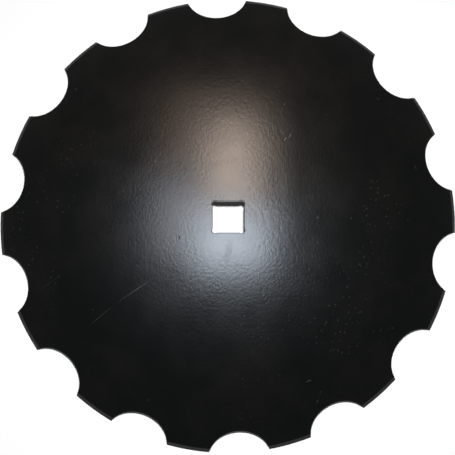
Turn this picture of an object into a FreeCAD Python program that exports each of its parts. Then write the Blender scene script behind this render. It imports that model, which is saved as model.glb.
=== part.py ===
"""Notched harrow disc blade, a FreeCAD macro that builds it as a parametric document.

One dished steel plate: both faces are spheres about one centre, the rim carries a ground bevel on
the domed face, scallops are punched round the rim square to the plate, and a square hole with
relieved corners takes the gang shaft.

Frame: the blade lies on its rim with the domed face up.  The origin is on the disc's axis, in the
plane that the rim stands on, and +Z points out of the domed face.  Millimetres and degrees.
"""

import FreeCAD, Part
import os

import Sketcher
from FreeCAD import Vector

FOLDER = "parts"

# Two places nearer than this are one, in millimetres.
TOUCHING = 0.001

# Driving dimensions: alias, value, meaning.
SIZES = (
    ("disc_diameter", 610.0, "over the tips of the teeth"),
    ("dish_radius", 660.0, "sphere of the hollow face"),
    ("plate_thickness", 6.0, "the same all over the dish"),
    ("edge_thickness", 1.5, "what the bevel leaves at the rim"),
    ("bevel_width", 9.0, "from the rim to the inner line of the bevel"),
    ("notch_count", 14, "scallops round the rim"),
    ("notch_radius", 40.6, "of a scallop, along the plate"),
    ("notch_depth", 34.6, "from the rim to the floor of a scallop, along the plate"),
    ("notch_turn", 15.7, "from +X to the first scallop, in degrees"),
    ("notch_break", 0.6, "edge of a scallop taken off the domed face"),
    ("hole_width", 40.0, "across the flats of the shaft hole"),
    ("relief_radius", 4.0, "of the round in each corner of the hole"),
    ("relief_reach", 0.8, "how far that round runs past the flats"),
    ("hole_break", 0.8, "edge of the hole taken off the domed face"),
    ("punch_reach", 5.0, "how far a punch stands out of the plate"),
)

# Places that follow from them.  Angles are from straight up, about the centre of the spheres.
OUTER_RADIUS = "(Sizes.dish_radius + Sizes.plate_thickness)"
RIM_ANGLE = "asin(Sizes.disc_diameter / 2 / (Sizes.dish_radius + Sizes.edge_thickness))"
SPHERE_DROP = f"Sizes.dish_radius * cos({RIM_ANGLE})"
ARC_TO_ANGLE = "180 deg / pi / Sizes.dish_radius"
NOTCH_ANGLE = f"({RIM_ANGLE} + (Sizes.notch_radius - Sizes.notch_depth) * {ARC_TO_ANGLE})"
NOTCH_HALF_ANGLE = f"(Sizes.notch_radius * {ARC_TO_ANGLE})"
NOTCH_BREAK_ANGLE = f"(Sizes.notch_break * {ARC_TO_ANGLE})"
PUNCH_END = f"({OUTER_RADIUS} + Sizes.punch_reach)"
RELIEF_CENTRE = "(Sizes.hole_width / 2 - Sizes.relief_radius + Sizes.relief_reach)"

# Names for the points of a sketched curve, and for the sketch's own axes and origin.
START, END, CENTRE = range(1, 4)
H_AXIS, V_AXIS = range(-1, -3, -1)
ORIGIN = (H_AXIS, START)


def make_sheet(doc):
    """Spreadsheet of the driving dimensions, one to a row."""
    sheet = doc.addObject("Spreadsheet::Sheet", "Sizes")
    for row, (alias, value, meaning) in enumerate(SIZES, start=1):
        sheet.set(f"A{row}", alias)
        sheet.set(f"B{row}", str(value))
        sheet.set(f"C{row}", meaning)
        sheet.setAlias(f"B{row}", alias)
    doc.recompute()


def worked_out(thing, expression):
    """Plain number that an expression on the sheet gives, in millimetres or degrees."""
    return float(thing.evalExpression(expression))


def origin_feature(body, role):
    """Plane or axis of the body's own origin."""
    return next(item for item in body.Origin.OriginFeatures if item.Role == role)


def make_sketch(body, name, plane):
    """Empty sketch on one of the body's origin planes."""
    sketch = body.newObject("Sketcher::SketchObject", name)
    sketch.AttachmentSupport = (origin_feature(body, plane), [""])
    sketch.MapMode = "FlatFace"
    return sketch


def polar(centre, radius, angle):
    """Point of a sketch at an angle from straight up, clockwise, about a centre."""
    return centre + FreeCAD.Rotation(Vector(0, 0, 1), -angle).multVec(Vector(0, radius, 0))


def add_line(sketch, start, end, construction=False):
    """Straight edge of a sketch."""
    return sketch.addGeometry(Part.LineSegment(start, end), construction)


def add_arc(sketch, centre, start, end):
    """Arc of a sketch, counter-clockwise about its centre from start to end."""
    circle = Part.Circle(centre, Vector(0, 0, 1), (start - centre).Length)
    turns = circle.parameter(start), circle.parameter(end)
    return sketch.addGeometry(Part.ArcOfCircle(circle, *turns))


def tie(sketch, kind, *place):
    """Geometric constraint of a sketch."""
    sketch.addConstraint(Sketcher.Constraint(kind, *place))


def bind(sketch, name, expression, kind, *place):
    """Named dimension of a sketch, bound to the sheet."""
    value = worked_out(sketch, expression)
    if kind == "Angle":
        value = FreeCAD.Units.Quantity(value, FreeCAD.Units.Angle)
    index = sketch.addConstraint(Sketcher.Constraint(kind, *place, value))
    sketch.renameConstraint(index, name)
    sketch.setExpression(f"Constraints.{name}", expression)


def make_dish(body):
    """Dished plate with its bevelled rim: half of the section, turned round the disc's axis."""
    sketch = make_sketch(body, "dish_section", "XZ_Plane")
    inner = worked_out(sketch, "Sizes.dish_radius")
    outer = worked_out(sketch, OUTER_RADIUS)
    land = worked_out(sketch, "Sizes.dish_radius + Sizes.edge_thickness")
    rim = worked_out(sketch, RIM_ANGLE)
    bevel = rim - worked_out(sketch, f"Sizes.bevel_width * {ARC_TO_ANGLE}")
    middle = Vector(0, -worked_out(sketch, SPHERE_DROP), 0)

    rim_foot = polar(middle, inner, rim)
    rim_top = polar(middle, land, rim)
    bevel_start = polar(middle, outer, bevel)
    crown_inner = polar(middle, inner, 0)
    crown_outer = polar(middle, outer, 0)

    hollow_face = add_arc(sketch, middle, rim_foot, crown_inner)
    axis_edge = add_line(sketch, crown_inner, crown_outer)
    domed_face = add_arc(sketch, middle, bevel_start, crown_outer)
    bevel_edge = add_line(sketch, bevel_start, rim_top)
    rim_edge = add_line(sketch, rim_top, rim_foot)

    tie(sketch, "Coincident", hollow_face, END, axis_edge, START)
    tie(sketch, "Coincident", axis_edge, END, domed_face, END)
    tie(sketch, "Coincident", domed_face, START, bevel_edge, START)
    tie(sketch, "Coincident", bevel_edge, END, rim_edge, START)
    tie(sketch, "Coincident", rim_edge, END, hollow_face, START)
    tie(sketch, "Coincident", hollow_face, CENTRE, domed_face, CENTRE)
    tie(sketch, "PointOnObject", hollow_face, CENTRE, V_AXIS)
    tie(sketch, "PointOnObject", hollow_face, END, V_AXIS)
    tie(sketch, "Vertical", axis_edge)
    tie(sketch, "PointOnObject", hollow_face, START, H_AXIS)
    tie(sketch, "PointOnObject", hollow_face, CENTRE, rim_edge)
    bind(sketch, "dish_radius", "Sizes.dish_radius", "Radius", hollow_face)
    bind(sketch, "plate_thickness", "Sizes.plate_thickness", "Distance", axis_edge)
    bind(sketch, "bevel_width", "Sizes.bevel_width", "Distance", bevel_edge)
    bind(sketch, "edge_thickness", "Sizes.edge_thickness", "Distance", rim_edge)
    bind(sketch, "rim_radius", "Sizes.disc_diameter / 2", "DistanceX", *ORIGIN, rim_edge, START)

    dish = body.newObject("PartDesign::Revolution", "dish")
    dish.Profile = sketch
    dish.ReferenceAxis = (sketch, ["V_Axis"])
    dish.Angle = 360
    return dish


def make_scallop(body):
    """One scallop of the rim: a cone from the spheres' centre, so its wall is square to the plate.

    The cone widens where it leaves the plate, which takes the edge off the domed face.
    """
    sketch = make_sketch(body, "scallop_section", "XZ_Plane")
    upright = Vector(0, 1, 0)
    sketch.AttachmentOffset = FreeCAD.Placement(Vector(), FreeCAD.Rotation(upright, 1))
    sketch.setExpression("AttachmentOffset.Rotation.Angle", "Sizes.notch_turn * 1 deg")
    outer = worked_out(sketch, OUTER_RADIUS)
    reach = worked_out(sketch, PUNCH_END)
    tilt = worked_out(sketch, NOTCH_ANGLE)
    side = tilt - worked_out(sketch, NOTCH_HALF_ANGLE)
    flare = side - worked_out(sketch, NOTCH_BREAK_ANGLE)
    middle = Vector(0, -worked_out(sketch, SPHERE_DROP), 0)

    wall_top = polar(middle, outer - worked_out(sketch, "Sizes.notch_break"), side)
    break_top = polar(middle, outer, flare)
    flare_top = polar(middle, reach, flare)
    axis_top = polar(middle, reach, tilt)

    axis_edge = add_line(sketch, middle, axis_top)
    wall = add_line(sketch, middle, wall_top)
    break_edge = add_line(sketch, wall_top, break_top)
    flare_edge = add_line(sketch, break_top, flare_top)
    end_edge = add_line(sketch, flare_top, axis_top)
    punch_axis = add_line(sketch, middle, axis_top, construction=True)

    tie(sketch, "Coincident", axis_edge, START, wall, START)
    tie(sketch, "Coincident", wall, END, break_edge, START)
    tie(sketch, "Coincident", break_edge, END, flare_edge, START)
    tie(sketch, "Coincident", flare_edge, END, end_edge, START)
    tie(sketch, "Coincident", end_edge, END, axis_edge, END)
    tie(sketch, "Coincident", punch_axis, START, axis_edge, START)
    tie(sketch, "Coincident", punch_axis, END, axis_edge, END)
    tie(sketch, "PointOnObject", axis_edge, START, V_AXIS)
    tie(sketch, "PointOnObject", axis_edge, START, flare_edge)
    slope = f"90 deg - {NOTCH_ANGLE}"
    bind(sketch, "sphere_drop", SPHERE_DROP, "DistanceY", axis_edge, START, *ORIGIN)
    bind(sketch, "axis_slope", slope, "Angle", axis_edge)
    bind(sketch, "wall_slope", f"{slope} + {NOTCH_HALF_ANGLE}", "Angle", wall)
    flare_slope = f"{slope} + {NOTCH_HALF_ANGLE} + {NOTCH_BREAK_ANGLE}"
    bind(sketch, "flare_slope", flare_slope, "Angle", flare_edge)
    bind(sketch, "wall_length", f"{OUTER_RADIUS} - Sizes.notch_break", "Distance", wall)
    bind(sketch, "dome", OUTER_RADIUS, "Distance", axis_edge, START, break_edge, END)
    bind(sketch, "flare_end", PUNCH_END, "Distance", axis_edge, START, flare_edge, END)
    bind(sketch, "axis_end", PUNCH_END, "Distance", axis_edge)

    scallop = body.newObject("PartDesign::Groove", "scallop")
    scallop.Profile = sketch
    scallop.ReferenceAxis = (sketch, ["Axis0"])
    scallop.Angle = 360
    return scallop


def repeat_scallop(body, scallop):
    """The scallops, evenly spaced round the rim."""
    scallops = body.newObject("PartDesign::PolarPattern", "scallops")
    scallops.Originals = [scallop]
    scallops.Axis = (origin_feature(body, "Z_Axis"), [""])
    scallops.Angle = 360
    scallops.setExpression("Occurrences", "Sizes.notch_count")
    body.Tip = scallops
    return scallops


def make_hole(body):
    """Square shaft hole, with a round in each corner that runs a little past the flats."""
    sketch = make_sketch(body, "hole_outline", "XY_Plane")
    half = worked_out(sketch, "Sizes.hole_width / 2")
    radius = worked_out(sketch, "Sizes.relief_radius")
    offset = worked_out(sketch, RELIEF_CENTRE)
    gap = half - offset
    flat_end = offset - (radius**2 - gap**2) ** 0.5

    # Each quarter turn holds one flat and the round that follows it, counter-clockwise.
    quarters = []
    for quarter in range(4):
        turn = FreeCAD.Rotation(Vector(0, 0, 1), 90 * quarter)
        corners = (
            Vector(half, -flat_end, 0),
            Vector(half, flat_end, 0),
            Vector(flat_end, half, 0),
            Vector(offset, offset, 0),
        )
        flat_start, flat_stop, round_stop, centre = (turn.multVec(point) for point in corners)
        flat = add_line(sketch, flat_start, flat_stop)
        quarters.append((flat, add_arc(sketch, centre, flat_stop, round_stop)))

    for quarter, (flat, relief) in enumerate(quarters):
        next_flat = quarters[(quarter + 1) % 4][0]
        tie(sketch, "Coincident", flat, END, relief, START)
        tie(sketch, "Coincident", relief, END, next_flat, START)
        upright = quarter % 2 == 0
        tie(sketch, "Vertical" if upright else "Horizontal", flat)
        across = "DistanceX" if upright else "DistanceY"
        outward = (*ORIGIN, flat, START) if quarter < 2 else (flat, START, *ORIGIN)
        bind(sketch, f"flat_{quarter}", "Sizes.hole_width / 2", across, *outward)
        corner = sketch.getPoint(relief, CENTRE)
        over = (*ORIGIN, relief, CENTRE) if corner.x > 0 else (relief, CENTRE, *ORIGIN)
        bind(sketch, f"relief_x_{quarter}", RELIEF_CENTRE, "DistanceX", *over)
        up = (*ORIGIN, relief, CENTRE) if corner.y > 0 else (relief, CENTRE, *ORIGIN)
        bind(sketch, f"relief_y_{quarter}", RELIEF_CENTRE, "DistanceY", *up)
        bind(sketch, f"relief_radius_{quarter}", "Sizes.relief_radius", "Radius", relief)

    hole = body.newObject("PartDesign::Pocket", "shaft_hole")
    hole.Profile = sketch
    hole.Type = "ThroughAll"
    hole.Midplane = True
    return hole


def break_hole_edge(doc, body, hole):
    """Edge of the shaft hole taken off, where its walls meet the domed face."""
    doc.recompute()
    middle = Vector(0, 0, -worked_out(body, SPHERE_DROP))
    outer = worked_out(body, OUTER_RADIUS)
    reach = worked_out(body, "Sizes.hole_width")
    names = []
    for number, edge in enumerate(hole.Shape.Edges, start=1):
        ends = [vertex.Point for vertex in edge.Vertexes]
        near = all(abs(point.x) < reach and abs(point.y) < reach for point in ends)
        on_dome = all(abs((point - middle).Length - outer) < TOUCHING for point in ends)
        if near and on_dome:
            names.append(f"Edge{number}")
    hole_break = body.newObject("PartDesign::Chamfer", "hole_break")
    hole_break.Base = (hole, names)
    hole_break.setExpression("Size", "Sizes.hole_break")
    return hole_break


def check(doc, steps):
    """Stops if a feature has failed, or if a cut took nothing away."""
    for item in doc.Objects:
        if "Invalid" in item.State or "Error" in item.State:
            raise RuntimeError(f"{item.Label} has failed: {item.State}")
    for before, after in zip(steps, steps[1:]):
        if not after.Shape.Volume < before.Shape.Volume:
            raise RuntimeError(f"{after.Label} takes nothing away")


def make_disc_blade(doc):
    """The whole blade, one body."""
    body = doc.addObject("PartDesign::Body", "DiscBlade")
    body.Label = "disc_blade"
    dish = make_dish(body)
    scallop = make_scallop(body)
    scallops = repeat_scallop(body, scallop)
    hole = make_hole(body)
    hole_break = break_hole_edge(doc, body, hole)
    body.Tip = hole_break
    doc.recompute()
    check(doc, [dish, scallop, scallops, hole, hole_break])
    return body


def export(body):
    """Writes the body's solid to a file named after it."""
    shape = body.Shape
    if shape.isNull() or not shape.isValid() or len(shape.Solids) != 1:
        raise RuntimeError(f"{body.Label} is not one sound solid")
    shape.exportStep(os.path.join(FOLDER, f"{body.Label}.step"))
    box = shape.optimalBoundingBox()
    print(f"{body.Label}: {box.XLength:.1f} x {box.YLength:.1f} x {box.ZLength:.1f} mm")
    print(f"volume {shape.Volume / 1000:.1f} cm3")


def main():
    os.makedirs(FOLDER, exist_ok=True)
    doc = FreeCAD.newDocument("harrow_disc_blade")
    make_sheet(doc)
    export(make_disc_blade(doc))


main()
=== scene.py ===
"""Notched harrow disc blade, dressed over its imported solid.

The blade is one dished plate between two spheres about one centre.  Every face of it is worked out
again here on fine grids, with the sizes of the solid that it stands for, and given its lacquer.

Frame: metres and radians, as the solid has it.  The origin is on the disc's axis, the rim stands on
z = 0 and the domed face is up.
"""

import math

import bmesh
import bpy
import numpy as np
from mathutils import Matrix, Vector


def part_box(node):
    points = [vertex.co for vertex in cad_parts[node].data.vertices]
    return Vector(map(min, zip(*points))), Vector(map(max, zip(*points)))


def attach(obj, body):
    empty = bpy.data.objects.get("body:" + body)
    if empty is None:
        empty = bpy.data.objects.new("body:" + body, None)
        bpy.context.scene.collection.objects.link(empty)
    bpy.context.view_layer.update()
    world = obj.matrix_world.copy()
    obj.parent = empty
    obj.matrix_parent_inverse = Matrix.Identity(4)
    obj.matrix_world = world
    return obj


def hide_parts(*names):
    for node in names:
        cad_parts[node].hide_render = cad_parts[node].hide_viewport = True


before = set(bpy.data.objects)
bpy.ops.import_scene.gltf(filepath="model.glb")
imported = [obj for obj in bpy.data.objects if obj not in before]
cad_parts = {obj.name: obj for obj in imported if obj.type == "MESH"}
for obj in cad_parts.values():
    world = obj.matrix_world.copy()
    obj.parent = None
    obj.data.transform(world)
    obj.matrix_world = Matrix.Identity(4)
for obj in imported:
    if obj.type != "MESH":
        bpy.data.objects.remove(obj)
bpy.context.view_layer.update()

bl_info = {
    "name": "Harrow disc blade",
    "version": (1, 0, 0),
    "blender": (4, 5, 0),
    "location": "View3D > Sidebar > Disc blade",
    "description": "Dresses a notched harrow disc blade and sets a plain studio round it",
    "category": "Add Mesh",
}

SOLID = "disc_blade"
BODY = "root"
PLATE = "blade_plate"
LOW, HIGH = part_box(SOLID)
MM = 0.001


# ---------------------------------------------------------------------------------------------
# What a user would change
# ---------------------------------------------------------------------------------------------

class BladeSizes(bpy.types.PropertyGroup):
    """Sizes of the plate, as in the solid."""

    disc_diameter: bpy.props.FloatProperty(
        name="Diameter", description="Over the tips of the teeth",
        default=HIGH[0] - LOW[0], unit="LENGTH")
    dish_radius: bpy.props.FloatProperty(
        name="Dish radius", description="Sphere of the hollow face",
        default=0.660, unit="LENGTH")
    plate_thickness: bpy.props.FloatProperty(
        name="Plate", description="Thickness of the plate",
        default=0.006, unit="LENGTH")
    edge_thickness: bpy.props.FloatProperty(
        name="Edge", description="What the bevel leaves at the rim",
        default=0.0015, unit="LENGTH")
    bevel_width: bpy.props.FloatProperty(
        name="Bevel", description="From the rim to the inner line of the bevel",
        default=0.009, unit="LENGTH")
    notch_count: bpy.props.IntProperty(
        name="Scallops", description="Scallops round the rim",
        default=14, min=3)
    notch_radius: bpy.props.FloatProperty(
        name="Scallop radius", description="Of a scallop, along the plate",
        default=0.0406, unit="LENGTH")
    notch_depth: bpy.props.FloatProperty(
        name="Scallop depth", description="From the rim to the floor of a scallop",
        default=0.0346, unit="LENGTH")
    notch_turn: bpy.props.FloatProperty(
        name="Turn", description="From +X to the first scallop",
        default=math.radians(15.7), subtype="ANGLE", unit="ROTATION")
    notch_break: bpy.props.FloatProperty(
        name="Scallop edge", description="Edge taken off a scallop on the domed face",
        default=0.0006, unit="LENGTH")
    fine_break: bpy.props.FloatProperty(
        name="Fine edge", description="Edge taken off everywhere else",
        default=0.0002, unit="LENGTH")
    hole_width: bpy.props.FloatProperty(
        name="Hole", description="Across the flats of the shaft hole",
        default=0.040, unit="LENGTH")
    relief_radius: bpy.props.FloatProperty(
        name="Corner round", description="Round in each corner of the hole",
        default=0.004, unit="LENGTH")
    relief_reach: bpy.props.FloatProperty(
        name="Corner reach", description="How far that round runs past the flats",
        default=0.0008, unit="LENGTH")
    hole_break: bpy.props.FloatProperty(
        name="Hole edge", description="Edge taken off the hole on the domed face",
        default=0.0008, unit="LENGTH")


class LacquerFinish(bpy.types.PropertyGroup):
    """Colours and texture of the black lacquer and of the ground bevel."""

    lacquer: bpy.props.FloatVectorProperty(
        name="Lacquer", description="Colour of the black lacquer",
        default=(0.0038, 0.0045, 0.0042), subtype="COLOR", size=3)
    dust: bpy.props.FloatVectorProperty(
        name="Dust", description="Colour of the thin dust on it",
        default=(0.0064, 0.0058, 0.0052), subtype="COLOR", size=3)
    bevel: bpy.props.FloatVectorProperty(
        name="Bevel", description="Colour of the ground bevel under its thin coat",
        default=(0.0062, 0.0052, 0.0038), subtype="COLOR", size=3)
    bare: bpy.props.FloatVectorProperty(
        name="Bare", description="Colour where the coat is chipped or scratched",
        default=(0.075, 0.076, 0.078), subtype="COLOR", size=3)
    # Painted shade: a colour darker than the lacquer, for the bottom of the struck place, where
    # shade falls.
    shaded_pit: bpy.props.FloatVectorProperty(
        name="Pit", description="Colour at the bottom of the struck place",
        default=(0.002, 0.002, 0.002), subtype="COLOR", size=3)
    roughness: bpy.props.FloatProperty(
        name="Roughness", description="Of the lacquer on the domed face",
        default=0.27, min=0.0, max=1.0)
    peel: bpy.props.FloatProperty(
        name="Peel", description="Depth of the lacquer's uneven skin",
        default=0.00017, unit="LENGTH", precision=6)


class StageSettings(bpy.types.PropertyGroup):
    """Floor, light and camera."""

    floor_colour: bpy.props.FloatVectorProperty(
        name="Floor", description="Colour of the floor",
        default=(0.94, 0.94, 0.94), subtype="COLOR", size=3)
    shaded_floor: bpy.props.FloatProperty(
        name="Shaded floor", description="From the middle to where the floor starts to turn white",
        default=0.32, unit="LENGTH")
    open_floor: bpy.props.FloatProperty(
        name="Open floor", description="From the middle to where the floor is plain white",
        default=0.75, unit="LENGTH")
    horizon_level: bpy.props.FloatProperty(
        name="Horizon", description="Strength of the even light from low down all round",
        default=0.28, min=0.0)
    sky_level: bpy.props.FloatProperty(
        name="Overhead", description="Strength of the even light from overhead",
        default=0.03, min=0.0)
    camera_height: bpy.props.FloatProperty(
        name="Camera", description="From the rim's plane to the camera, along its view",
        default=1.5, unit="LENGTH")
    camera_lens: bpy.props.FloatProperty(
        name="Lens", description="Focal length of the camera",
        default=88.36, unit="CAMERA")


# ---------------------------------------------------------------------------------------------
# The plate
# ---------------------------------------------------------------------------------------------

# Steps of the grids: along half a scallop's floor, down a bevel, over half a tooth, and round a
# quarter of the hole; then rows from the outline to the plain ring, and from there to the hole.
FLOOR_STEPS, BEVEL_STEPS, TOOTH_STEPS, QUARTER_STEPS = 34, 6, 16, 84
OUTER_ROWS, INNER_ROWS = 9, 18

# The plain ring, inside the scallops, where the steps round the disc become fewer.
RING_RADIUS = 0.225
RING_WIDTH = 0.006

# Points nearer than this are one, edges shorter than this go, and bends over this stay sharp.
TOUCHING = 2e-6
NO_LENGTH = 1e-7
SHARP_BEND = math.radians(22)


class Plate:
    """Angles and distances that follow from the sizes, all about the spheres' centre.

    A tilt is the angle from straight up.  Distances along the plate become angles over the dish
    radius.
    """

    def __init__(self, sizes):
        self.inner = sizes.dish_radius
        self.outer = sizes.dish_radius + sizes.plate_thickness
        self.land = sizes.dish_radius + sizes.edge_thickness
        self.rim = math.asin(sizes.disc_diameter / 2 / self.land)
        self.drop = self.inner * math.cos(self.rim)
        spread = self.outer ** 2 + self.land ** 2 - sizes.bevel_width ** 2
        self.bevel = self.rim - math.acos(spread / (2 * self.outer * self.land))
        self.punch = self.rim + (sizes.notch_radius - sizes.notch_depth) / self.inner
        self.half = sizes.notch_radius / self.inner
        self.pitch = 2 * math.pi / sizes.notch_count
        self.turns = sizes.notch_turn + self.pitch * np.arange(sizes.notch_count)
        self.notch_break = sizes.notch_break
        self.fine_break = sizes.fine_break

    def top(self, tilt):
        """Distance from the spheres' centre to the top of the plate.

        The domed sphere up to the bevel, and past it the straight line from the sphere to the rim:
        a line's distance is its nearest distance over the cosine of the angle from there.
        """
        start = self.outer * np.array((math.sin(self.bevel), math.cos(self.bevel)))
        end = self.land * np.array((math.sin(self.rim), math.cos(self.rim)))
        across = np.array((start[1] - end[1], end[0] - start[0]))
        across /= np.linalg.norm(across)
        slope = across[0] * np.sin(tilt) + across[1] * np.cos(tilt)
        return np.where(tilt <= self.bevel, self.outer, across @ start / slope)

    def edge_break(self, tilt):
        """Edge taken off a scallop: full on the dome, dying away to a fine one down the bevel."""
        lost = self.outer - self.top(tilt)
        return np.clip(self.notch_break - lost, self.fine_break, self.notch_break)

    def scallop_edge(self, tilt, half):
        """Azimuth from a scallop's middle to its edge at a tilt, by the cosine rule on a sphere."""
        cosine = np.cos(half) - np.cos(tilt) * math.cos(self.punch)
        return np.arccos(cosine / (np.sin(tilt) * math.sin(self.punch)))

    def scallop_floor(self, half, stop):
        """Tilts along a scallop, from its floor to where it reaches the tilt `stop`.

        The scallop is a circle on the sphere.  Its points are taken evenly by their turn about the
        punch's axis, and the cosine rule gives each one's tilt.
        """
        rise = math.cos(half) * math.cos(self.punch)
        swing = math.sin(half) * math.sin(self.punch)
        turn = np.linspace(0, math.acos((math.cos(stop) - rise) / swing), FLOOR_STEPS + 1)
        return np.arccos(rise + swing * np.cos(turn))

    def loop(self, tilt, half):
        """Loop round the plate through a scallop's tilts, and level over the tooth from the last.

        Half a scallop and half a tooth are worked out, as tilts and as azimuths from the scallop's
        middle.  They are mirrored, and then turned to every scallop.
        """
        offset = self.scallop_edge(tilt, half)
        offset[0] = 0.0
        tooth = np.linspace(offset[-1], self.pitch / 2, TOOTH_STEPS + 1)[1:]
        tilt = np.concatenate((tilt, np.full(TOOTH_STEPS, tilt[-1])))
        offset = np.concatenate((offset, tooth))
        tilts = np.concatenate((tilt[::-1], tilt[1:-1]))
        offsets = np.concatenate((-offset[::-1], offset[1:-1]))
        azimuth = self.turns[:, None] + offsets[None, :]
        return np.tile(tilts, len(self.turns)), azimuth.ravel()

    def edge_loop(self, broken, rim_break):
        """Loop along the whole outline: scallop, side of the bevel and rim.

        `broken` gives what is taken off the scallop's edge at a tilt, and `rim_break` what is
        taken off the rim's.
        """
        floor = self.scallop_floor(self.half + broken(self.bevel) / self.inner, self.bevel)
        side = np.linspace(self.bevel, self.rim - rim_break / self.inner, BEVEL_STEPS + 1)
        tilt = np.concatenate((floor, side[1:]))
        return self.loop(tilt, self.half + broken(tilt) / self.inner)

    def dome_loop(self):
        """Loop round the domed face alone: scallops, and the bevel's inner line on each tooth."""
        half = self.half + self.notch_break / self.inner
        return self.loop(self.scallop_floor(half, self.bevel), half)

    def place(self, tilt, azimuth, distance):
        """Points at a distance from the spheres' centre, at a tilt and an azimuth."""
        tilt, azimuth, distance = np.broadcast_arrays(tilt, azimuth, distance)
        across = distance * np.sin(tilt)
        up = distance * np.cos(tilt) - self.drop
        return np.stack((across * np.cos(azimuth), across * np.sin(azimuth), up), axis=-1)

    def over(self, plan, distance):
        """Points straight above a plan, on the sphere at a distance from the centre."""
        up = np.sqrt(distance ** 2 - (plan ** 2).sum(axis=-1)) - self.drop
        return np.concatenate((plan, up[..., None]), axis=-1)


def hole_loop(sizes, grown):
    """Plan of the shaft hole: four flats, and in each corner a round that runs past them.

    One quarter, counter-clockwise: half of its steps go evenly along the flat and half round the
    corner.  The other quarters are its turns by a right angle.  `grown` moves the whole outline
    outwards.
    """
    half = sizes.hole_width / 2 + grown
    radius = sizes.relief_radius + grown
    middle = sizes.hole_width / 2 - sizes.relief_radius + sizes.relief_reach
    flat_end = middle - math.sqrt(radius ** 2 - (half - middle) ** 2)
    first = math.atan2(flat_end - middle, half - middle)
    flat_steps = QUARTER_STEPS // 2
    flat = np.linspace(-flat_end, flat_end, flat_steps, endpoint=False)
    sweep = np.linspace(0, math.pi / 2 - 2 * first, QUARTER_STEPS - flat_steps, endpoint=False)
    turn = first + sweep
    quarter = np.concatenate((
        np.stack((np.full(flat_steps, half), flat), axis=-1),
        middle + radius * np.stack((np.cos(turn), np.sin(turn)), axis=-1)))
    right_angle = np.array([[0, 1], [-1, 0]])
    turns = [np.linalg.matrix_power(right_angle, count) for count in range(4)]
    return np.concatenate(quarter @ np.stack(turns))


def ring_like(loop, radius):
    """Plain ring with as many points as a loop, which starts at the loop's own first azimuth."""
    start = math.atan2(loop[0, 1], loop[0, 0])
    turn = start + 2 * math.pi * np.arange(len(loop)) / len(loop)
    return radius * np.stack((np.cos(turn), np.sin(turn)), axis=-1)


def spaced(start, end, rows):
    """Rows that go evenly from one loop of points to another."""
    share = np.linspace(0, 1, rows)[:, None, None]
    return start[None] * (1 - share) + end[None] * share


class Patchwork:
    """Gathers patches of points and faces, which share their borders, into one closed mesh."""

    def __init__(self):
        self.points = []
        self.faces = []
        self.count = 0

    def add_points(self, points):
        start = self.count
        self.points.append(points.reshape(-1, 3))
        self.count += len(self.points[-1])
        return start

    def add_grid(self, grid, closed=True):
        """Rows of points joined by squares; a closed row comes back to its own start."""
        rows, columns = grid.shape[:2]
        index = self.add_points(grid) + np.arange(rows * columns).reshape(rows, columns)
        if closed:
            index = np.concatenate((index, index[:, :1]), axis=1)
        squares = (index[:-1, :-1], index[:-1, 1:], index[1:, 1:], index[1:, :-1])
        self.faces.append(np.stack(squares, axis=-1).reshape(-1, 4))

    def add_zip(self, ring, other):
        """Triangles between two closed rings whose counts differ.

        The steps of both rings are put in one order by how far round they are.  Each step gives a
        triangle with the point that the other ring has come to.
        """
        start, far = self.add_points(ring), self.add_points(other)
        near_count, far_count = len(ring), len(other)
        progress = np.concatenate(((np.arange(near_count) + 0.5) / near_count,
                                   (np.arange(far_count) + 0.5) / far_count))
        order = np.argsort(progress, kind="stable")
        is_near = order < near_count
        near_at = np.cumsum(is_near) - is_near
        far_at = np.cumsum(~is_near) - ~is_near
        near, ahead = start + near_at % near_count, start + (near_at + 1) % near_count
        opposite, beyond = far + far_at % far_count, far + (far_at + 1) % far_count
        third = np.where(is_near, ahead, beyond)
        self.faces.append(np.stack((near, third, opposite), axis=-1))

    def mesh(self, name):
        """Merges the shared borders, turns the faces outwards and keeps the hard edges hard."""
        mesh = bpy.data.meshes.new(name)
        faces = [face for patch in self.faces for face in patch.tolist()]
        mesh.from_pydata(np.concatenate(self.points).tolist(), [], faces)
        work = bmesh.new()
        work.from_mesh(mesh)
        bmesh.ops.remove_doubles(work, verts=work.verts, dist=TOUCHING)
        bmesh.ops.dissolve_degenerate(work, edges=work.edges, dist=NO_LENGTH)
        bmesh.ops.recalc_face_normals(work, faces=work.faces)
        if any(not edge.is_manifold for edge in work.edges):
            raise RuntimeError(f"{name} isn't closed")
        work.to_mesh(mesh)
        work.free()
        mesh.polygons.foreach_set("use_smooth", np.ones(len(mesh.polygons), dtype=bool))
        mesh.set_sharp_from_angle(angle=SHARP_BEND)
        return mesh


def add_edge(work, plate):
    """Walls of the scallops and of the teeth, from the hollow face up to the top of the plate.

    Five loops: the hollow face's edge, the wall's foot, middle and top, and the top face's edge.
    """
    fine = plate.fine_break
    low = plate.edge_loop(lambda tilt: fine + 0.0 * tilt, fine)
    wall = plate.edge_loop(lambda tilt: 0.0 * tilt, 0.0)
    high = plate.edge_loop(plate.edge_break, fine)
    wall_foot = plate.inner + fine
    wall_top = plate.top(wall[0]) - plate.edge_break(wall[0])
    rows = [plate.place(*low, plate.inner)]
    for share in (0.0, 0.5, 1.0):
        rows.append(plate.place(*wall, wall_foot * (1 - share) + wall_top * share))
    rows.append(plate.place(*high, plate.top(high[0])))
    work.add_grid(np.stack(rows))


def add_bevels(work, plate):
    """The ground bevel on each tooth: straight from the dome to the rim, between two scallops."""
    tilt = np.linspace(plate.bevel, plate.rim - plate.fine_break / plate.inner, BEVEL_STEPS + 1)
    half = plate.half + plate.edge_break(tilt) / plate.inner
    reach = plate.pitch / 2 - plate.scallop_edge(tilt, half)
    across = np.linspace(-1, 1, 2 * TOOTH_STEPS + 1)
    for turn in plate.turns + plate.pitch / 2:
        azimuth = turn + reach[:, None] * across[None, :]
        grid = plate.place(tilt[:, None], azimuth, plate.top(tilt)[:, None])
        work.add_grid(grid, closed=False)


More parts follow.
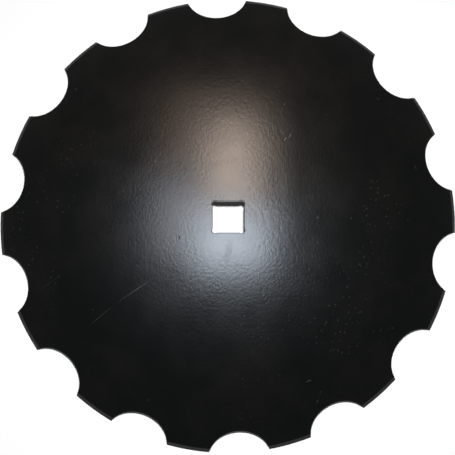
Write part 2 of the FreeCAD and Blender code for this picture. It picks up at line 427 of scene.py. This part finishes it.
def add_face(work, plate, outline, hole, distance):
    """One face of the plate, from its outline to the hole, on the sphere at a distance.

    The rows go evenly over the plan, from the outline in to a plain ring, and from a ring of fewer
    points in to the hole.  Each point is then put up on the sphere.
    """
    ring = ring_like(outline, RING_RADIUS)
    narrow = ring_like(hole, RING_RADIUS - RING_WIDTH)
    lead = math.atan2(ring[0, 1], ring[0, 0]) - math.atan2(hole[0, 1], hole[0, 0])
    shift = int(round(lead / (2 * math.pi) * len(hole))) % len(hole)
    narrow, hole = np.roll(narrow, -shift, axis=0), np.roll(hole, -shift, axis=0)
    work.add_grid(plate.over(spaced(outline, ring, OUTER_ROWS), distance))
    work.add_zip(plate.over(ring, distance), plate.over(narrow, distance))
    work.add_grid(plate.over(spaced(narrow, hole, INNER_ROWS), distance))


def add_hole(work, plate, sizes):
    """Walls of the shaft hole, straight up, with the edge taken off on the domed face."""
    wall = hole_loop(sizes, 0.0)
    foot = plate.over(hole_loop(sizes, sizes.fine_break), plate.inner)
    low = plate.over(wall, plate.inner + sizes.fine_break)
    high = plate.over(wall, plate.outer - sizes.hole_break)
    top = plate.over(hole_loop(sizes, sizes.hole_break), plate.outer)
    work.add_grid(np.stack((foot, low, (low + high) / 2, high, top)))


def make_plate_mesh(sizes):
    """The whole plate, closed."""
    plate = Plate(sizes)
    fine = plate.fine_break
    hollow_loop = plate.edge_loop(lambda tilt: fine + 0.0 * tilt, fine)
    hollow_outline = plate.place(*hollow_loop, plate.inner)[:, :2]
    dome_outline = plate.place(*plate.dome_loop(), plate.outer)[:, :2]
    work = Patchwork()
    add_edge(work, plate)
    add_bevels(work, plate)
    add_face(work, plate, dome_outline, hole_loop(sizes, sizes.hole_break), plate.outer)
    add_face(work, plate, hollow_outline, hole_loop(sizes, fine), plate.inner)
    add_hole(work, plate, sizes)
    return work.mesh(PLATE)


class HARROW_OT_add_plate(bpy.types.Operator):
    """Add the dished plate, with its lacquer"""

    bl_idname = "harrow.add_plate"
    bl_label = "Add plate"

    def execute(self, context):
        scene = context.scene
        piece = bpy.data.objects.new(PLATE, make_plate_mesh(scene.harrow_sizes))
        scene.collection.objects.link(piece)
        lacquer = make_lacquer(Plate(scene.harrow_sizes), scene.harrow_finish)
        piece.data.materials.append(lacquer)
        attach(piece, BODY)
        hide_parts(SOLID)
        return {"FINISHED"}


# ---------------------------------------------------------------------------------------------
# The lacquer
# ---------------------------------------------------------------------------------------------

# How many of each to a metre, from the finest: the skin's grain and its waves, specks of dust,
# blotches on the bevel, wide waves, clouds of dust, and how far apart the specks gather.
GRAIN, SKIN, SPECKS, BLOTCHES, WAVES, CLOUDS, GATHERINGS = 430, 260, 135, 60, 45, 16, 9

# Heights of the relief, in metres.
WAVE_HEIGHT = 0.06 * MM
SPECK_HEIGHT = 0.04 * MM
MARK_DEPTH = 0.09 * MM
PIT_DEPTH = 0.30 * MM

# Zones of the plate are told apart within this of their borders.
BLUR = 0.4 * MM

# Marks in the lacquer of the domed face, in millimetres and degrees: where the middle is, which
# way the mark runs, how long and how wide it is, and how far it has gone through, up to one.
SCRATCHES = (
    (-164, -125, 38, 50, 1.3, 0.45),
    (-118, -92, 33, 66, 1.6, 0.75),
    (-236, -84, 34, 56, 1.3, 0.30),
    (104, -209, 22, 10, 1.8, 0.90),
)
CHIPS = (
    (73, 102, 54, 8, 2.4, 1.0),
    (79, 106, 64, 8, 2.4, 1.0),
    (73, 149, 80, 5, 2.0, 0.5),
    (200, 163, -15, 7, 3.5, 0.3),
    (248, 71, -60, 10, 3.0, 0.3),
    (-94, 73, 30, 4, 2.2, 0.5),
    (-81, 122, 0, 5, 2.4, 0.4),
    (114, 0, 80, 4, 2.4, 0.8),
    (158, 0, 70, 5, 2.0, 0.5),
    (73, -3, 90, 4, 2.4, 0.8),
    (66, -13, 90, 5, 1.8, 0.8),
    (114, -32, 80, 5, 1.8, 0.5),
    (45, -99, 20, 4, 2.6, 0.6),
    (120, -224, 60, 4, 2.0, 0.6),
    (116, -236, 80, 5, 2.0, 0.5),
    (15, -257, 150, 12, 1.8, 0.35),
    (215, -141, 0, 4, 2.5, 0.35),
    (-175, -117, 0, 4, 2.5, 0.4),
    (-104, -234, 50, 8, 1.8, 0.35),
)
# Wide smears that dull the lacquer.
SMEARS = (
    (0, -45, 80, 46, 14, 1.0),
    (-30, 66, 10, 60, 16, 0.5),
    (70, 40, 95, 90, 22, 0.5),
)
# A struck place beside the hole: small bright ridges round a pit, whose bottom is darkened with
# painted shade.
STRUCK = (
    (-71, -31, 60, 5, 1.8, 1.0),
    (-67, -28, 70, 6, 1.8, 1.0),
    (-75, -33, 40, 4, 2.2, 0.6),
)
STRUCK_PIT = (-63, -27, 70, 7, 2.6, 1.0)


class Value:
    """Output socket of a node, on which Python's operators add Math nodes."""

    def __init__(self, nodes, socket):
        self.nodes = nodes
        self.socket = socket

    def _math(self, operation, *inputs):
        return self.nodes.add("ShaderNodeMath", {"operation": operation}, *inputs)

    def __add__(self, other):
        return self._math("ADD", self, other)

    def __radd__(self, other):
        return self._math("ADD", other, self)

    def __sub__(self, other):
        return self._math("SUBTRACT", self, other)

    def __rsub__(self, other):
        return self._math("SUBTRACT", other, self)

    def __mul__(self, other):
        return self._math("MULTIPLY", self, other)

    def __rmul__(self, other):
        return self._math("MULTIPLY", other, self)


class Nodes:
    """Node tree of one material or of the world."""

    def __init__(self, owner):
        owner.use_nodes = True
        self.tree = owner.node_tree
        self.tree.nodes.clear()

    def add(self, kind, settings=None, *inputs, output=0, **named):
        """Adds a node: its settings first, then the values or links of its sockets.

        Sockets are filled in their order, or by name with an underscore for each space.
        """
        node = self.tree.nodes.new(kind)
        for key, setting in (settings or {}).items():
            setattr(node, key, setting)
        sockets = list(zip(node.inputs, inputs))
        sockets += [(node.inputs[key.replace("_", " ")], given) for key, given in named.items()]
        for socket, given in sockets:
            if isinstance(given, Value):
                self.tree.links.new(given.socket, socket)
            elif given is not None:
                socket.default_value = given
        return Value(self, node.outputs[output]) if node.outputs else None

    def vector(self, operation, *inputs, output=0):
        return self.add("ShaderNodeVectorMath", {"operation": operation}, *inputs, output=output)

    def length(self, vector):
        return self.vector("LENGTH", vector, output="Value")

    def ramp(self, value, low, high, start=0.0, end=1.0):
        """Smooth step from `start` to `end` as a value goes from low to high."""
        settings = {"interpolation_type": "SMOOTHSTEP"}
        return self.add("ShaderNodeMapRange", settings, value, low, high, start, end)

    def noise(self, place, scale, detail=2.0):
        return self.add("ShaderNodeTexNoise", None, Vector=place, Scale=scale, Detail=detail)

    def blend(self, share, first, second):
        """Colour that goes from the first to the second; the sockets between are for numbers."""
        between = (None,) * 5
        return self.add("ShaderNodeMix", {"data_type": "RGBA"}, share, *between, first, second,
                        output=2)

    def larger(self, *values):
        """The largest of several values."""
        largest = values[0]
        for value in values[1:]:
            largest = self.add("ShaderNodeMath", {"operation": "MAXIMUM"}, largest, value)
        return largest

    def light_path(self, ray):
        return self.add("ShaderNodeLightPath", None, output=ray)


def add_mark(nodes, place, middle_x, middle_y, turn, length, width, depth):
    """Mask of one mark: `depth` in its middle, falling to nothing at the edge of a long oval.

    The place is moved, turned and divided by the oval's half axes, and its length is then one on
    the edge.  The third axis is so long that height counts for nothing.
    """
    oval = nodes.add("ShaderNodeMapping", {"vector_type": "TEXTURE"}, place,
                     (middle_x * MM, middle_y * MM, 0), (0, 0, math.radians(turn)),
                     (length / 2 * MM, width / 2 * MM, 1000.0))
    return nodes.ramp(nodes.length(oval), 0.2, 1.0, depth, 0.0)


def add_marks(nodes, place, marks):
    """Mask of several marks together."""
    return nodes.larger(*[add_mark(nodes, place, *mark) for mark in marks])


def add_zones(nodes, place, plate):
    """Masks of the domed face, the ground bevel and the hollow face.

    How far through the plate a place lies is its distance from the spheres' centre less the dish
    radius.  Over the bevel, the top falls evenly with the distance from the axis.
    """
    centre = (0, 0, -plate.drop)
    height = nodes.vector("DISTANCE", place, centre, output="Value") - plate.inner
    reach = nodes.length(nodes.vector("MULTIPLY", place, (1, 1, 0)))
    thickness = plate.outer - plate.inner
    start = plate.outer * math.sin(plate.bevel)
    end = plate.land * math.sin(plate.rim)
    fall = (plate.outer - plate.land) / (end - start)
    above = height - (thickness - (reach - start) * fall)
    domed = nodes.ramp(height, thickness - 2 * BLUR, thickness - BLUR)
    on_bevel = (nodes.ramp(reach, start - BLUR, start + BLUR)
                * nodes.ramp(above, -0.5 * MM, -0.2 * MM))
    hollow = nodes.ramp(height, 0.5 * MM, 0.1 * MM)
    return domed, on_bevel, hollow


def make_lacquer(plate, finish):
    """Black lacquer over the whole plate, thin over the ground bevel, and marked by handling; the
    bottom of a struck place gets painted shade.
    """
    material = bpy.data.materials.new("black_lacquer")
    nodes = Nodes(material)
    place = nodes.add("ShaderNodeTexCoord", None, output="Object")
    domed, on_bevel, hollow = add_zones(nodes, place, plate)

    # The skin: a fine grain, drawn out a little one way, over wider unevenness.
    grain = nodes.noise(nodes.vector("MULTIPLY", place, (1.0, 0.42, 1.0)), GRAIN)
    skin = nodes.noise(place, SKIN)
    waves = nodes.noise(place, WAVES)
    clouds = nodes.noise(place, CLOUDS, 3.0)

    # Specks of dust and pits, only where they gather.
    nearest = nodes.add("ShaderNodeTexVoronoi", {"feature": "F1"}, Vector=place, Scale=SPECKS,
                        Randomness=1.0)
    gathered = nodes.ramp(nodes.noise(place, GATHERINGS), 0.50, 0.68)
    speck = nodes.ramp(nearest, 0.22, 0.08) * gathered

    marked = add_marks(nodes, place, SCRATCHES + CHIPS + STRUCK) * domed
    smeared = add_marks(nodes, place, SMEARS) * domed
    # Mask of the struck pit: it sinks the relief, and darkens the pit's bottom as painted shade.
    shaded_pit = add_mark(nodes, place, *STRUCK_PIT) * domed

    dusty = nodes.ramp(clouds, 0.40, 0.66, 0.0, 0.75)
    blotchy = nodes.ramp(nodes.noise(place, BLOTCHES, 3.0), 0.30, 0.70, 0.35, 1.0)
    patchy = nodes.ramp(grain, 0.35, 0.65, 0.4, 1.0)
    colour = nodes.blend(dusty, (*finish.lacquer, 1), (*finish.dust, 1))
    colour = nodes.blend(on_bevel * blotchy, colour, (*finish.bevel, 1))
    colour = nodes.blend(speck * 0.28 * (domed + hollow), colour, (*finish.bare, 1))
    colour = nodes.blend(marked * patchy, colour, (*finish.bare, 1))
    # Painted shade at the bottom of the struck pit.
    colour = nodes.blend(shaded_pit, colour, (*finish.shaded_pit, 1))

    roughness = (finish.roughness + (clouds - 0.5) * 0.10 + (waves - 0.5) * 0.05
                 + hollow * 0.08 + on_bevel * 0.60 + marked * 0.15 + smeared * 0.045)
    relief = ((grain * 0.45 + skin * 0.75) * finish.peel + waves * WAVE_HEIGHT
              + speck * SPECK_HEIGHT - marked * MARK_DEPTH - shaded_pit * PIT_DEPTH)
    normal = nodes.add("ShaderNodeBump", None, Strength=1.0, Distance=1.0, Height=relief)
    shader = nodes.add("ShaderNodeBsdfPrincipled", None, Base_Color=colour, Roughness=roughness,
                       IOR=1.56, Normal=normal)
    nodes.add("ShaderNodeOutputMaterial", None, shader)
    return material


# ---------------------------------------------------------------------------------------------
# The stage
# ---------------------------------------------------------------------------------------------

WHITE = (1.0, 1.0, 1.0, 1.0)

FLOOR_SIDE = 16.0
UNDER_RIM = 0.5 * MM

# Sines of the heights above the horizon between which the sky goes from pale to dim.
SKY_LOW, SKY_HIGH = 0.05, 0.45

# How the camera leans from straight down and turns, and the blade's middle in its view, in metres.
CAMERA_LEAN, CAMERA_ROLL = -0.08741, 0.0056
CAMERA_MIDDLE = (0.00063, 0.00646)

# Lamps over the blade: name, place, width and depth in metres, power, colour.
LAMPS = (
    ("cool_lamp", (0.03, -0.04, 1.50), (0.58, 0.50), 13.2, (0.87, 0.97, 1.10)),
    ("left_lamp", (-0.43, 0.14, 1.50), (0.37, 0.65), 2.9, (0.94, 0.97, 1.09)),
    ("warm_lamp", (0.05, 0.64, 1.50), (0.42, 0.74), 8.8, (1.20, 0.97, 0.82)),
    ("far_lamp", (-0.12, 1.00, 1.50), (0.95, 0.90), 2.4, (1.34, 0.95, 0.72)),
)
# The one lamp of the floor: small, so the shadow through the shaft hole has a clean edge.
FLOOR_LAMP = ("floor_lamp", (0.018, -0.008, 1.50), (0.05, 0.05), 26.0, (1.0, 1.0, 1.0))


def add_lamp(scene, lit, name, place, size, power, colour):
    """Rectangular lamp that faces straight down and lights one object alone."""
    lamp = bpy.data.lights.new(name, "AREA")
    lamp.shape = "RECTANGLE"
    lamp.size, lamp.size_y = size
    lamp.energy = power
    lamp.color = colour
    holder = bpy.data.objects.new(name, lamp)
    holder.location = place
    receivers = bpy.data.collections.new(f"{name}_lights")
    receivers.objects.link(lit)
    holder.light_linking.receiver_collection = receivers
    scene.collection.objects.link(holder)


def make_floor_material(stage):
    """Pale floor that keeps the blade's shadow.

    The camera sees it turn plain white further out, reflections see it white all over, and from
    underneath it is clear.
    """
    material = bpy.data.materials.new("pale_floor")
    nodes = Nodes(material)
    away = nodes.length(nodes.add("ShaderNodeTexCoord", None, output="Object"))
    mirrored = nodes.larger(nodes.light_path("Is Glossy Ray"),
                            nodes.light_path("Is Transmission Ray"))
    outer = nodes.ramp(away, stage.shaded_floor, stage.open_floor)
    share = nodes.larger(nodes.light_path("Is Camera Ray") * outer, mirrored)
    bounced = nodes.add("ShaderNodeBsdfDiffuse", None, (*stage.floor_colour, 1))
    glow = nodes.add("ShaderNodeEmission", None, WHITE, 1.0)
    upper = nodes.add("ShaderNodeMixShader", None, share, bounced, glow)
    below = nodes.add("ShaderNodeNewGeometry", None, output="Backfacing")
    clear = nodes.add("ShaderNodeBsdfTransparent", None, WHITE)
    nodes.add("ShaderNodeOutputMaterial", None,
              nodes.add("ShaderNodeMixShader", None, below, upper, clear))
    return material


def add_floor(scene, stage):
    """Flat square under the rim."""
    half = FLOOR_SIDE / 2
    corners = ((-half, -half), (half, -half), (half, half), (-half, half))
    mesh = bpy.data.meshes.new("floor")
    mesh.from_pydata([(*corner, -UNDER_RIM) for corner in corners], [], [(0, 1, 2, 3)])
    mesh.materials.append(make_floor_material(stage))
    floor = bpy.data.objects.new("floor", mesh)
    scene.collection.objects.link(floor)
    return floor


def set_sky(scene, stage):
    """Even light: soft and pale low down, dim overhead, and plain white to the camera."""
    scene.world = bpy.data.worlds.new("studio")
    nodes = Nodes(scene.world)
    aim = nodes.add("ShaderNodeTexCoord", None, output="Generated")
    rise = nodes.add("ShaderNodeSeparateXYZ", None, aim, output="Z")
    level = nodes.ramp(rise, SKY_LOW, SKY_HIGH, stage.horizon_level, stage.sky_level)
    soft = nodes.add("ShaderNodeBackground", None, WHITE, level)
    white = nodes.add("ShaderNodeBackground", None, WHITE, 1.0)
    seen = nodes.light_path("Is Camera Ray")
    nodes.add("ShaderNodeOutputWorld", None,
              nodes.add("ShaderNodeMixShader", None, seen, soft, white))


def add_camera(scene, stage):
    """Camera over the blade, a little in front of its middle.

    What a camera sees is the blade turned and then moved, so its own place undoes the move and
    then the turn.
    """
    turn = Matrix.Rotation(CAMERA_LEAN, 3, "X") @ Matrix.Rotation(CAMERA_ROLL, 3, "Y")
    back = turn.transposed()
    move = Vector((*CAMERA_MIDDLE, -stage.camera_height))
    lens = bpy.data.cameras.new("camera")
    lens.lens = stage.camera_lens
    camera = bpy.data.objects.new("camera", lens)
    camera.matrix_world = Matrix.LocRotScale(-(back @ move), back, None)
    scene.collection.objects.link(camera)
    scene.camera = camera


class HARROW_OT_add_stage(bpy.types.Operator):
    """Add the floor, the lamps, the sky and the camera"""

    bl_idname = "harrow.add_stage"
    bl_label = "Add stage"

    def execute(self, context):
        scene = context.scene
        stage = scene.harrow_stage
        add_camera(scene, stage)
        set_sky(scene, stage)
        for lamp in LAMPS:
            add_lamp(scene, bpy.data.objects[PLATE], *lamp)
        add_lamp(scene, add_floor(scene, stage), *FLOOR_LAMP)
        scene.view_settings.view_transform = "Standard"
        return {"FINISHED"}


# ---------------------------------------------------------------------------------------------
# The add-on
# ---------------------------------------------------------------------------------------------

GROUPS = {
    "harrow_sizes": BladeSizes,
    "harrow_finish": LacquerFinish,
    "harrow_stage": StageSettings,
}
STEPS = (HARROW_OT_add_plate, HARROW_OT_add_stage)


class HARROW_PT_panel(bpy.types.Panel):
    """Sizes, finish and steps of the disc blade"""

    bl_idname = "HARROW_PT_panel"
    bl_label = "Disc blade"
    bl_space_type = "VIEW_3D"
    bl_region_type = "UI"
    bl_category = "Disc blade"

    def draw(self, context):
        for name, kind in GROUPS.items():
            box = self.layout.box()
            for key in kind.__annotations__:
                box.prop(getattr(context.scene, name), key)
        for step in STEPS:
            self.layout.operator(step.bl_idname)


CLASSES = (*GROUPS.values(), *STEPS, HARROW_PT_panel)


def register():
    for kind in CLASSES:
        bpy.utils.register_class(kind)
    for name, kind in GROUPS.items():
        setattr(bpy.types.Scene, name, bpy.props.PointerProperty(type=kind))


def unregister():
    for name in GROUPS:
        delattr(bpy.types.Scene, name)
    for kind in reversed(CLASSES):
        bpy.utils.unregister_class(kind)


def main():
    register()
    bpy.ops.harrow.add_plate()
    bpy.ops.harrow.add_stage()


if __name__ == "__main__":
    main()
